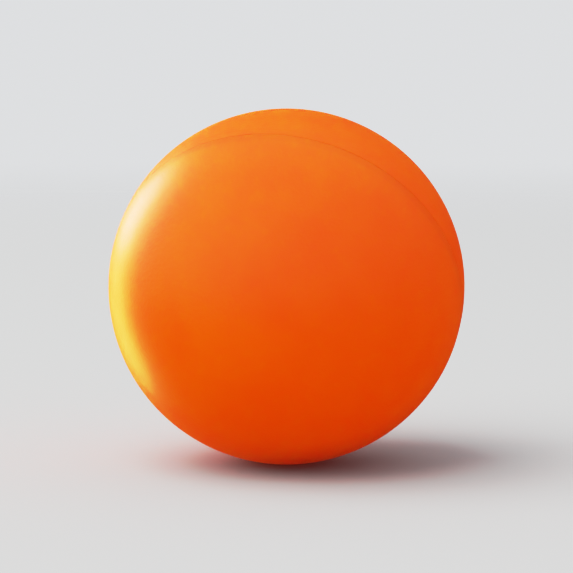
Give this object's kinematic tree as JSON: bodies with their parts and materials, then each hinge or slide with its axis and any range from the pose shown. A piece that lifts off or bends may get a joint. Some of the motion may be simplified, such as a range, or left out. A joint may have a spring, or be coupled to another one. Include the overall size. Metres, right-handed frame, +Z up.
{
  "type": "table tennis ball",
  "caption": "Orange seamed table tennis ball: two thin plastic half shells joined by a cemented lap seam.",
  "frame": {"origin": "centre of the ball", "axes": "+Z up as the ball lies, with the resting point straight below the centre; the seam's pole leans 60 degrees from +Z towards +Y, so the seam runs along X over the top and round the underside"},
  "size_m": [0.04, 0.04, 0.04],
  "materials": {
    "shell_plastic": "satin",
    "seam_cement": "satin"
  },
  "bodies": {
    "root": {"rear_half_shell": "shell_plastic", "front_half_shell": "shell_plastic", "seam_cement": "seam_cement"}
  },
  "joints": []
}
